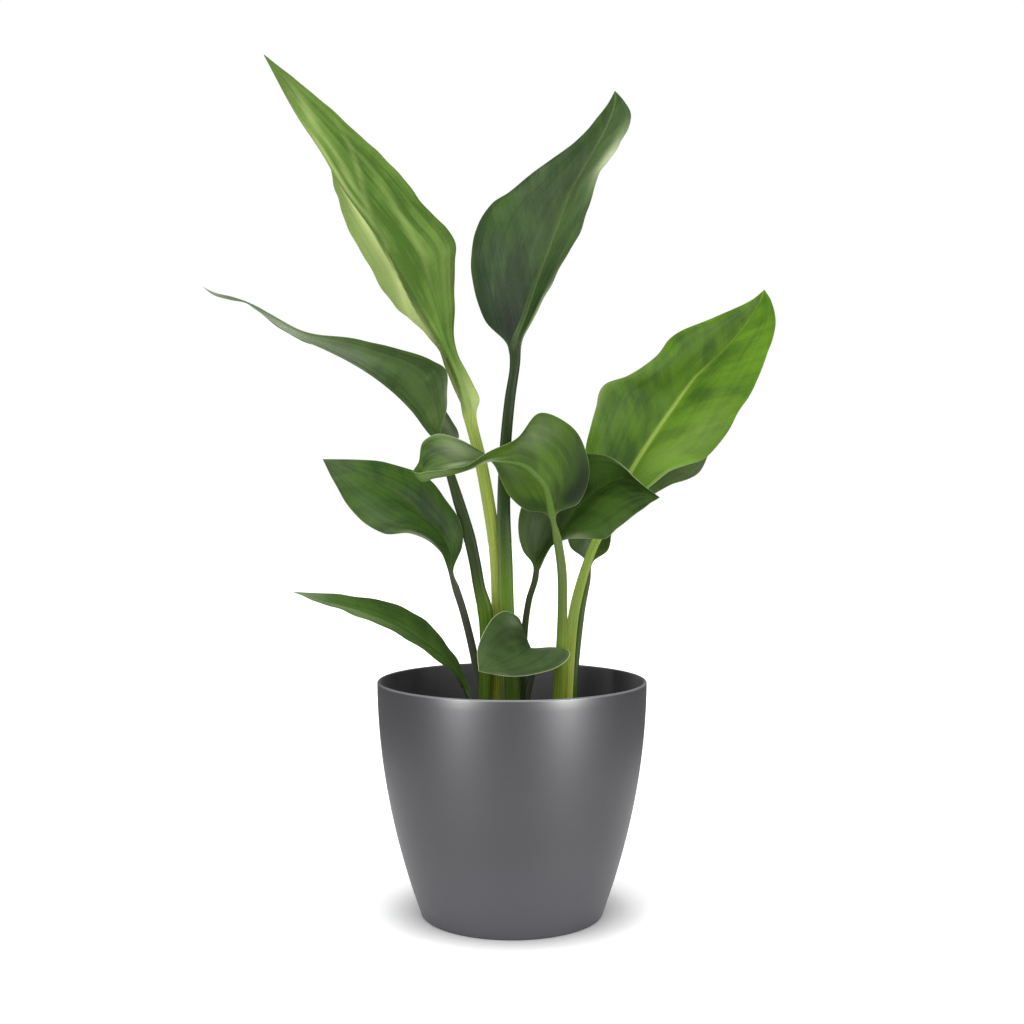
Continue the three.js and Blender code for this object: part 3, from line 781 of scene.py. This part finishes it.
def grow(name, look, stalk, blade, *shape, slot="leaf_dark"):
    """Builds one leaf and hands it over. A stalk row is the centre, half the width and half the
    depth, a blade row is left margin, midrib and right margin, in mm, and the tip is one point.
    The shape is the way it faces, the arch of each half, the fold's softness and the spots."""
    leaf = build_leaf(stalk, blade, *shape, phase=look["seed"] / 10)
    STALKS.append(stalk)
    hand_over(leaf, name + "_grown", leaf_finish(name + "_skin", **look), slot, name)


print("leaf material ready")

# %% [markdown]
# ## Tall left leaf
# The tallest leaf leans out to the left, folded like a trough. We see its underside: the rib is
# a keel, the narrow left half is pale and lit through, and the broad half is streaked.

# %% Tall left leaf
look = dict(
    blade="628c22", deep="3c5e1e", pale="d4e692", under="709440", rib="789646", rim="7c9642",
    stalk="b4c85c", foot="d4e260",
    slant=0.35, bands=0.3, streaks=0.85, ribbed=0, sheen=0.03, shine=0.5, seed=3, turn_low=0.2,
    turn_high=0.3,
)
stalk = [
    (-11, 5, 104, 5.4, 5), (-11, 5, 142.5, 5.4, 5), (-9, 5, 199.5, 4.8, 4.3),
    (-11, 5, 241.5, 4.5, 4.2), (-15, 4, 269, 4.3, 4.1), (-20.5, 2, 299.5, 4.2, 4),
    (-26, 0, 322, 4, 3.8),
]
blade = [
    (-24, 3, 334, -30, 0, 335, -32, 4, 334), (-22, 8, 344, -33, 2, 347, -37, 9, 346),
    (-31, 14, 362, -39, 4, 363, -45, 14, 364), (-39, 22, 382, -46, 5, 378, -52, 22, 381),
    (-40, 34, 414, -57, 7, 398, -68, 34, 398), (-40, 41, 442, -67, 8, 416, -81, 40, 410),
    (-40, 44, 457, -76, 9, 431, -92, 44, 424), (-46, 45, 466, -82, 10, 441, -100, 46, 440),
    (-59, 46, 479, -91, 12, 456, -112, 47, 459), (-81, 42, 506, -113, 16, 485, -124, 48, 491),
    (-107, 36, 530, -131, 20, 515, -130, 42, 518), (-136, 30, 555, -149, 24, 542, -147, 32, 545),
    (-171, 24, 582),
]
# pale spots: the pale band by the crease, painted light through the narrow half and painted sheen
# near the tip
pale = [
    (44, 30, 3, 30, 9, 100, -320), (17, 53, 4, 30, 14, 90, -80), (90, 23, 50, 50, 8, 60),
    (80, 40, 50, 50, 30, 36), (-45, 65, 5, 5, 12, 24, -300), (-52, 46, 5, 5, 16, 26, -80),
    (-85, 32, 15, 30, 10, 16), (-2, 66, 3, 2, 15, 60), (-22, 68, 5, 4, 12, 40, -60),
    (80, 6, 40, 30, 5, 50), (-75, 3, 70, 70, 7, 75), (70, 7, 35, 50, 5, 70),
    (0, 93, 150, 150, 12, 12), (-35, 82, 15, 15, 6, 30, -300), (100, -45, 70, 40, 32, 75),
]
# deep spots: painted shadow along the crease and painted shade in the hollows
deep = [
    (36, 30, 42, 4, 10, 130, -320), (10, 53, 18, 4, 14, 135, -80), (-32, 61, 12, 12, 8, 60, -200),
    (-78, 57, 10, 10, 10, 50), (-97, 26, 5, 4, 12, 160), (0, 97, 150, 150, 8, 90),
]
shape = ((0.3, 1, 0.1), (0.05, 0.06), 0.2, pale, deep)
grow("tall_left_leaf", look, stalk, blade, *shape, slot="leaf_bright")

# %% [markdown]
# ## Tall right leaf
# This leaf stands upright and turns its dark upper side to the front. Its right half folds
# towards the viewer, with a pale band down along the lower margin.

# %% Tall right leaf
look = dict(
    blade="48682e", deep="2a4222", pale="becca0", under="829464", rib="829860", rim="68765a",
    stalk="384a26", foot="749c26",
    slant=1.7, streaks=0.35, ribbed=0.45, sheen=0.05, seed=17, turn_low=0.2, turn_high=0.275,
)
stalk = [
    (0, -3, 104, 5, 4.4), (0.5, -3, 143.5, 5, 4.4), (-3.5, -4.5, 200.5, 5.1, 3.6),
    (-4.5, -4, 235.5, 4.9, 3.4), (-5.5, -2, 265.5, 4.5, 3.6), (-4.5, 3, 309, 3.9, 3.6),
    (-1.5, 6, 342.5, 3.6, 3.4), (2, 8, 367, 3.5, 3.3),
]
blade = [
    (-3, 7, 380, 1, 9, 381, 7, 6, 383), (-18, 4, 396, 8, 12, 399, 15, 2, 398),
    (-27, 0, 426, 18, 16, 428, 30, -2, 427), (-25, 0, 454, 27, 21, 453, 45, -1, 454),
    (-14, 6, 475, 36, 27, 477, 54, 4, 480), (-2, 10, 484, 40, 30, 488, 57, 8, 492),
    (16, 16, 500, 48, 33, 503, 64, 14, 504), (44, 28, 523, 61, 40, 526, 75, 22, 521),
    (60, 40, 543, 70, 47, 546, 83, 36, 543), (68, 47, 555, 73, 50, 557, 79, 46, 556), (73, 52, 565),
]
pale = [
    (30, 55, 80, 100, 28, 12), (97, 70, 24, 20, 12, 100), (97, 10, 10, 10, 14, 60),
    (-20, 85, 60, 90, 20, 6), (-100, -70, 50, 35, 20, 20),
]
deep = [
    (-40, 7, 80, 55, 14, 180), (75, 20, 30, 30, 12, 40), (-75, 35, 8, 8, 12, 35, 60),
    (-40, 30, 7, 7, 12, 35, 50),
]
grow("tall_right_leaf", look, stalk, blade, (0.1, -1, 0), (0.06, 0.08), 0.7, pale, deep)

# %% [markdown]
# ## Right leaf
# The brightest leaf, wide and almost flat, reaches out to the right. Its strong pale midrib
# fades towards the tip, and the blade has soft dark bands.

# %% Right leaf
look = dict(
    blade="689422", deep="42661c", pale="c4d48c", under="648c32", rib="b0cc60", rim="8ca856",
    stalk="b0ca5c", foot="e8f674",
    slant=1.05, streaks=0.3, ribbed=0.9, rib_fade_from=95, rib_fade_to=150, seed=29, turn_low=0.14,
    turn_high=0.2,
)
stalk = [
    (36, 6, 104, 4, 3.8), (37, 6, 142, 4, 3.8), (42, 8, 199.5, 3.6, 3.4), (52, 14, 234.5, 3, 3),
    (59, 18, 250, 2.9, 2.9),
]
blade = [
    (62, 19, 258, 64, 20, 260, 66, 19, 257), (52, 15, 281, 72, 22, 276, 84, 13, 275),
    (50, 12, 308, 85, 25, 300, 106, 10, 294), (57, 12, 338, 100, 29, 323, 131, 9, 304),
    (62, 14, 353, 113, 33, 341, 147, 12, 322), (79, 16, 360, 121, 36, 352, 154, 15, 335),
    (97, 21, 372, 129, 38, 362, 162, 20, 345), (112, 29, 389, 147, 43, 379, 175, 30, 371),
    (142, 40, 403, 167, 48, 402, 185, 42, 399), (169, 48, 416, 175, 50, 415, 183, 49, 416),
    (179, 52, 424),
]
pale = [
    (-100, 42, 7, 7, 10, 35), (97, 14, 4, 4, 14, 80), (55, 25, 40, 40, 16, 14),
    (75, 45, 30, 30, 10, 10),
]
deep = [
    (-60, 42, 30, 35, 30, 45), (-35, 76, 50, 35, 20, 35), (-30, 20, 30, 25, 10, 40),
    (28, 55, 12, 20, 5, 35, 50),
]
shape = ((-0.2, -1, 0.1), (0.06, 0.06), 0.5, pale, deep)
grow("right_leaf", look, stalk, blade, *shape, slot="leaf_bright")

# %% [markdown]
# ## Curled leaf
# The youngest large leaf arches over the middle and shows its underside. It is pinched and
# twisted half way, so that its tip becomes a shallow trough that hangs to the left.

# %% Curled leaf
look = dict(
    blade="54742c", deep="2c421c", pale="becea0", under="587828", rib="6c8c40", rim="a4ba7a",
    stalk="7a924e", foot="aeca44",
    bands=0.6, ribbed=0.75, rimmed=0.8, seed=41, turn_low=0.15, turn_high=0.22,
)
stalk = [
    (31.5, -3, 104, 4.8, 3.8), (32, -3, 143.5, 4.8, 3.8), (33.5, -6, 182, 3.9, 3.4),
    (33.5, -9, 202.5, 3.2, 3), (33, -14, 228, 3.1, 2.9), (30, -20, 248.5, 2.9, 2.8),
]
blade = [
    (29, -24, 266, 26, -25, 266, 23, -24, 266), (44, -18, 274, 24, -29, 276, 9, -20, 269),
    (51, -14, 293, 21, -33, 285, -1, -17, 277), (46, -16, 315, 15, -36, 292, -7, -17, 289),
    (37, -22, 325, 9, -38, 297, -11, -18, 297), (18, -32, 332, 1, -39, 300, -14, -19, 301),
    (3, -46, 315, -8, -40, 301, -16, -19, 303), (-13, -56, 307, -15, -40, 301, -18, -18, 306),
    (-29, -58, 298, -27, -42, 296, -34, -17, 315), (-41, -57, 295, -40, -44, 292, -48, -19, 319),
    (-52, -54, 294, -50, -46, 290, -58, -25, 314), (-59, -52, 293, -57, -48, 288, -60, -36, 301),
    (-63, -50, 294),
]
pale = [
    (-55, 40, 30, 25, 6, 18), (55, 38, 40, 40, 14, 14), (65, 70, 40, 30, 10, 34),
    (20, 77, 3.5, 2, 13, 50, 30), (-50, 84, 60, 40, 12, 25), (-5, 57, 15, 15, 7, 60),
    (98, 68, 3, 10, 16, 50),
]
# deep spots: painted shade under the bulging base lobes
deep = [
    (-95, 19, 15, 35, 9, 160), (-60, 10, 50, 40, 7, 160), (60, 8, 30, 40, 5, 130),
    (60, 86, 25, 25, 4, 50), (85, 62, 12, 12, 10, 50),
]
grow("curled_leaf", look, stalk, blade, (0.1, 1, 0.1), (0.05, 0.06), 0.5, pale, deep)

# %% [markdown]
# ## Broad middle leaf
# A dark leaf behind the curled one, with its tip dropping to the right.

# %% Broad middle leaf
look = dict(
    blade="446222", deep="2a4018", pale="bac4a0", under="507432", rib="547234", rim="96a87c",
    stalk="585e44", foot="5c683e",
    rimmed=0.6, seed=53,
)
stalk = [
    (8, 13, 104, 2.6, 2.5), (7.5, 13, 141, 2.5, 2.4), (8.5, 12, 185, 2.3, 2.2),
    (11.5, 8, 207.5, 2.1, 2.1), (15.5, 3, 221.5, 2.1, 2),
]
blade = [
    (14, -1, 232, 17, 1, 229, 19, -1, 231), (7, -4, 242, 23, 3, 241, 27, -6, 245),
    (4, -5, 259, 30, 5, 251, 34, -9, 249), (9, -5, 277, 38, 6, 262, 46, -12, 250),
    (22, -4, 295, 49, 6, 275, 61, -14, 250), (39, -4, 305, 61, 4, 284, 70, -16, 257),
    (58, -6, 306, 72, 0, 289, 81, -18, 266), (70, -10, 301, 83, -7, 287, 89, -18, 272),
    (81, -14, 290, 89, -13, 283, 94, -17, 275), (97, -18, 277),
]
pale = [
    (-65, 20, 50, 40, 14, 10), (97, 30, 20, 20, 8, 35), (-98, 90, 8, 8, 8, 90),
]
deep = [
    (40, 42, 40, 40, 8, 30), (-30, 45, 50, 40, 12, 20),
]
grow("broad_middle_leaf", look, stalk, blade, (0, -1, 0), (0.08, 0.08), 0.6, pale, deep)

# %% [markdown]
# ## Back right leaf
# A dark leaf at the back that reaches right. Only the upper margin and the tip show from the
# front, and its base lobes show below the curled leaf.

# %% Back right leaf
look = dict(
    blade="5c7830", deep="3e5624", pale="b0ba9c", under="546e38", rib="64843c", rim="8c9c6e",
    stalk="4e6422", foot="5c7a26",
    streaks=0.3, ribbed=0.4, seed=61, sheen=0.08,
)
stalk = [
    (40.5, 14, 104, 3.5, 3.4), (40.5, 14, 141, 3.5, 3.4), (47, 19, 198.5, 2.9, 2.8),
    (51.5, 26, 220, 2.7, 2.6),
]
blade = [
    (51, 30, 233, 53, 31, 232, 56, 30, 232), (40, 31, 243, 58, 34, 243, 66, 28, 240),
    (40, 32, 261, 69, 37, 261, 70, 28, 255), (54, 34, 285, 82, 40, 278, 85, 30, 270),
    (79, 37, 304, 103, 42, 295, 111, 31, 286), (106, 40, 317, 121, 43, 307, 129, 33, 293),
    (143, 44, 321),
]
pale = [
    (60, 85, 100, 100, 30, 28), (-60, 8, 60, 60, 12, 10),
]
deep = [
    (0, 8, 150, 150, 14, 40),
]
grow("back_right_leaf", look, stalk, blade, (0, -1, 0.1), (0.06, 0.06), 0.5, pale, deep)

# %% [markdown]
# ## Arching left leaf
# A long leaf that arches out to the left nearly edge on, with its keel as the lower outline
# and a greyish sheen along it.

# %% Arching left leaf
look = dict(
    blade="547030", deep="2e4420", pale="c4ccb8", under="587538", rib="4c6238", rim="8c9878",
    stalk="42522e", foot="709626",
    slant=0.5, streaks=0.6, ribbed=0.15, seed=73, turn_low=0.19, turn_high=0.235,
)
stalk = [
    (-17.5, -4, 104, 5.3, 4.6), (-17, -4, 144, 5.3, 4.8), (-15.5, -4, 182, 4.6, 5.6),
    (-16.5, -3.5, 202, 4.2, 6.4), (-20.5, -3, 216.5, 3.7, 4.9), (-23.5, -2, 233, 3.4, 4.8),
    (-27.5, -1, 251, 3.3, 5), (-35, 1, 275.5, 3.2, 4.5), (-42, 3, 297, 3.1, 3.3),
]
blade = [
    (-48, 1, 318, -48, 5, 315, -42, 8, 314), (-44, -3, 334, -55, 6, 322, -36, 16, 318),
    (-43, -5, 350, -66, 7, 336, -41, 26, 329), (-44, -5, 362, -78, 8, 348, -53, 33, 344),
    (-54, -4, 369, -92, 9, 359, -73, 37, 357), (-78, -2, 377, -108, 10, 369, -96, 36, 370),
    (-103, 0, 383, -126, 11, 378, -119, 32, 379), (-137, 3, 388, -142, 11, 385, -142, 24, 384),
    (-151, 6, 394, -155, 10, 392, -158, 16, 392), (-172, 8, 406, -173, 10, 405, -174, 12, 405),
    (-181, 8, 410, -181, 10, 410, -181, 11, 409), (-190, 9, 413, -191, 10, 412, -191, 11, 411),
    (-202, 10, 416, -202, 10, 415, -202, 10, 414), (-210, 10, 420),
]
# pale spots: painted sheen towards the tip and along the keel
pale = [
    (0, 97, 150, 150, 12, 40), (-20, 69, 60, 60, 12, 62), (-10, 46, 40, 40, 10, 22),
    (65, 28, 30, 25, 12, 20), (50, 32, 35, 30, 10, 16), (65, 14, 30, 25, 6, 25),
    (100, 3, 40, 30, 6, 30), (-100, 10, 15, 10, 8, 30), (100, -55, 60, 60, 5, 25),
]
deep = [
    (-80, 30, 30, 30, 13, 70), (-5, 20, 20, 20, 25, 35), (98, 30, 6, 8, 30, 120),
]
grow("arching_left_leaf", look, stalk, blade, (1, 0.3, 0), (0.05, 0.05), 0.6, pale, deep)

# %% [markdown]
# ## Middle left leaf
# A dark folded leaf that points left below the arching one.

# %% Middle left leaf
look = dict(
    blade="4a6a2a", deep="2e481e", pale="b4c0a0", under="54703a", rib="506e32", rim="829668",
    stalk="626456", foot="7c7c6e",
    bands=0.6, rimmed=0.6, seed=83,
)
stalk = [
    (-22, 9, 104, 2.8, 2.6), (-21.5, 8, 142, 2.8, 2.6), (-25, 6, 167, 2.7, 2.5),
    (-32.5, 0, 200, 2.5, 2.4), (-37.5, -4, 216.5, 2.4, 2.3),
]
blade = [
    (-43, -8, 230, -41, -7, 229, -39, -6, 228), (-47, -16, 241, -42, -10, 242, -33, -6, 245),
    (-55, -24, 249, -48, -13, 254, -34, -6, 259), (-67, -31, 254, -58, -17, 264, -44, -7, 276),
    (-82, -36, 254, -69, -21, 274, -56, -10, 290), (-95, -38, 261, -82, -25, 283, -71, -15, 297),
    (-106, -38, 273, -95, -29, 290, -88, -21, 301),
    (-115, -37, 288, -109, -32, 297, -105, -28, 302), (-122, -36, 302),
]
pale = [
    (-95, 25, 8, 8, 15, 50), (-80, 62, 30, 30, 12, 8), (0, 93, 150, 150, 12, 10),
]
deep = [
    (20, 42, 25, 40, 6, 50), (-50, 40, 30, 30, 10, 40),
]
grow("mid_left_leaf", look, stalk, blade, (0, -1, 0), (0.08, 0.08), 0.5, pale, deep)

# %% [markdown]
# ## Low left leaf
# The lowest leaf, on a short stalk, spreads just above the rim to the left.

# %% Low left leaf
look = dict(
    blade="50722a", deep="3a5522", pale="b4c0a0", under="5a7a3c", rib="5c7e36", rim="8ca06e",
    stalk="465c28", foot="384c24",
    streaks=0.3, ribbed=0.4, rimmed=0.6, seed=97, sheen=0.08,
)
stalk = [
    (-29, -12, 104, 2.6, 2.4), (-27, -13, 135.5, 2.5, 2.3),
]
blade = [
    (-32, -14, 150, -30, -13, 149, -27, -12, 148), (-37, -23, 161, -35, -15, 159, -32, -7, 159),
    (-49, -32, 172, -43, -18, 171, -38, -3, 171), (-65, -38, 185, -56, -21, 182, -48, -1, 184),
    (-86, -40, 196, -74, -23, 194, -62, -3, 198), (-107, -38, 204, -95, -25, 203, -84, -9, 208),
    (-126, -34, 210, -117, -27, 209, -110, -17, 213), (-143, -28, 216),
]
pale = [
    (-70, 75, 30, 30, 30, 25), (0, 97, 150, 150, 10, 30),
]
deep = [
    (-20, 2, 100, 100, 8, 40),
]
grow("low_left_leaf", look, stalk, blade, (0.2, -1, 0.2), (0.06, 0.06), 0.5, pale, deep)

# %% [markdown]
# ## Front small leaf
# A small leaf that comes towards the viewer over the rim, with its tip to the lower left.

# %% Front small leaf
look = dict(
    blade="506838", deep="3a4e2c", pale="bac6a6", under="546e36", rib="54703a", rim="ccde98",
    stalk="485428", foot="425028",
    slant=0.8, ribbed=0.15, rimmed=0.9, rim_width=0.8, seed=103, sheen=0.08,
)
stalk = [
    (9, 2, 104, 2.5, 2.4), (10, 3, 142.5, 2.4, 2.3), (13, 4, 156.5, 2.2, 2.1),
]
blade = [
    (17, 2, 168, 15, 3, 168, 13, 2, 168), (24, -3, 174, 13, -4, 176, 8, 0, 186),
    (35, -15, 177, 8, -14, 178, 4, -4, 197), (38, -22, 174, 3, -25, 177, -3, -12, 202),
    (29, -30, 167, -3, -35, 175, -11, -23, 200), (15, -41, 164, -8, -44, 173, -18, -35, 191),
    (-2, -51, 164, -14, -51, 171, -22, -46, 180), (-21, -57, 168),
]
pale = [
    (75, 40, 15, 15, 10, 22), (-55, 30, 30, 30, 10, 20),
]
deep = [
    (20, 30, 40, 40, 12, 30), (50, 60, 12, 12, 15, 25, 50),
]
grow("front_small_leaf", look, stalk, blade, (0, 1, 0), (0.08, 0.08), 1, pale, deep)

# %% [markdown]
# ## Soil
# Potting mix is an uneven bed of peat and bark. Rings are pulled inwards from the pot's wall,
# two displace modifiers raise lumps and crumbs, and boolean modifiers cut the stalks' holes.

# %% Soil: bed
SOIL_TOP = 122.0
CLEARANCE = 0.3
SOIL_SIDES = 200
SOIL_RINGS = 62


def soil_radius(z):
    return pot_radius(z) - POT_WALL - CLEARANCE


soil_edge = soil_radius(SOIL_TOP)
side_heights = (POT_FLOOR, 40, 80, 110, SOIL_TOP)
soil_rings = [(soil_radius(z), max(z, POT_FLOOR + CLEARANCE)) for z in side_heights]
soil_rings += [(soil_edge * (1 - i / SOIL_RINGS), SOIL_TOP) for i in range(1, SOIL_RINGS)]
soil = pull_rings(soil_rings, SOIL_SIDES)
top_points = soil.vertex_groups.new(name="soil_top")
for point in soil.data.vertices:
    if point.co.z > (SOIL_TOP - 0.5) * MM:
        from_wall = soil_edge - math.hypot(point.co.x, point.co.y) / MM
        top_points.add([point.index], min(1.0, from_wall / 3), "REPLACE")
print("soil edge radius", round(soil_edge, 2), "mm")

# %% Soil: lumps and crumbs
for title, reach, lift in (("soil_lumps", 0.022, 3.2), ("soil_crumb", 0.0035, 1.9)):
    cloud = bpy.data.textures.new(title, type="CLOUDS")
    cloud.noise_scale = reach
    cloud.noise_depth = 2
    push = {"texture": cloud, "texture_coords": "LOCAL", "direction": "Z"}
    modify(soil, "DISPLACE", vertex_group="soil_top", strength=lift * MM, mid_level=0.5, **push)
soil_heights = [v.co.z / MM for v in soil.data.vertices if v.co.z > (SOIL_TOP - 6) * MM]
print("soil top from", round(min(soil_heights), 1), "to", round(max(soil_heights), 1), "mm")

# %% Soil: holes for the stalks
PLUG_HEIGHT = 40.0
PLUG_SIDES = 28


def stalk_cutter(stalk):
    """An upright oval plug, a little wider than the stalk's foot."""
    x, y, foot, half_width, half_depth = stalk[0]
    top_x, top_y = stalk[1][:2]
    select_nothing()
    bpy.ops.mesh.primitive_cylinder_add(vertices=PLUG_SIDES, radius=1.0, depth=1.0)
    plug = bpy.context.object
    size = Vector((half_width + CLEARANCE, half_depth + CLEARANCE, PLUG_HEIGHT))
    plug.scale = size * MM
    middle = foot - CLEARANCE + PLUG_HEIGHT / 2
    plug.location = Vector(((x + top_x) / 2, (y + top_y) / 2, middle)) * MM
    settle(plug)
    return plug


for stalk in STALKS:
    plug = stalk_cutter(stalk)
    modify(soil, "BOOLEAN", operation="DIFFERENCE", solver="EXACT", object=plug)
    bpy.data.objects.remove(plug)
smooth(soil, 60)
print("soil has", len(soil.data.polygons), "faces after", len(STALKS), "holes")

# %% [markdown]
# ## Crumbs and bark
# Loose crumbs of peat and chips of bark lie on the bed. One small lump and one flat chip are
# copied, each with its own turn and size and half sunk, so that nothing hovers.

# %% Crumbs: two small shapes
def rough_lump(seed, size, flatness):
    select_nothing()
    bpy.ops.mesh.primitive_ico_sphere_add(subdivisions=1, radius=size * MM)
    lump = bpy.context.object
    dice = random.Random(seed)
    for point in lump.data.vertices:
        point.co *= dice.uniform(0.78, 1.2)
        point.co.z *= flatness
    return lump


lump = rough_lump(10, 1.5, 0.75)
chip = rough_lump(9, 2.8, 0.38)
print("a peat crumb and a bark chip with", len(lump.data.polygons), "faces each")

# %% Crumbs: strewn over the bed
CRUMB_COUNT = 260
CHIP_SHARE = 0.35
STALK_ROOM = 0.0105
WALL_ROOM = 4
TILT = 0.4


def soil_height(x, y):
    hit, spot, _, _ = soil.ray_cast(Vector((x, y, 0.2)), Vector((0, 0, -1)))
    return spot.z if hit else SOIL_TOP * MM


def near_a_stalk(x, y):
    feet = [stalk[0][:2] for stalk in STALKS]
    return any(math.hypot(x - fx * MM, y - fy * MM) < STALK_ROOM for fx, fy in feet)


dice = random.Random(11)
strewn = []
while len(strewn) < CRUMB_COUNT:
    turn = dice.uniform(0, 2 * math.pi)
    reach = (soil_edge - WALL_ROOM) * MM * math.sqrt(dice.random())
    x, y = reach * math.cos(turn), reach * math.sin(turn)
    if near_a_stalk(x, y):
        continue
    source = chip if dice.random() < CHIP_SHARE else lump
    crumb = source.copy()
    crumb.data = source.data.copy()
    bpy.context.collection.objects.link(crumb)
    crumb.scale = [dice.uniform(0.6, 1.25)] * 3
    lean, tip = dice.uniform(-TILT, TILT), dice.uniform(-TILT, TILT)
    crumb.rotation_euler = (lean, tip, dice.uniform(0, 6.28))
    crumb.location = (x, y, soil_height(x, y) + 0.0001)
    strewn.append(crumb)
select_only(strewn[0])
for crumb in strewn:
    crumb.select_set(True)
bpy.ops.object.join()
crumbs = bpy.context.object
settle(crumbs)
for shape in (lump, chip):
    bpy.data.objects.remove(shape)
smooth(crumbs, 25)
print("strewn", len(strewn), "crumbs")

# %% [markdown]
# ## Soil finish
# Damp peat is dull and dark, and bark is lighter. Both are the same finish with other
# colours: two browns mixed by a coarse and a fine cloud.

# %% Soil finish
def soil_finish(name, dark, light, rough):
    net = Finish(name)
    coarse, fine = net.noise(net.place(), 160.0, 5.0), net.noise(net.place(), 900.0, 3.0)
    both = net.plus(net.times(coarse, 0.65), net.times(fine, 0.35))
    colour = net.mixed(net.rise(both, 0.36, 0.66), dark, light)
    rough = net.plus(net.times(fine, 0.15), rough)
    return net.give(colour, rough, height=both, relief=0.0008)


peat = soil_finish("moist_peat", paint("261c14"), paint("4a3728"), 0.8)
bark = soil_finish("bark_and_peat_crumbs", paint("342418"), paint("684c34"), 0.75)
hand_over(soil, "soil_bed", peat, "potting_soil", "soil")
hand_over(crumbs, "soil_crumbs", bark, "potting_soil", None)
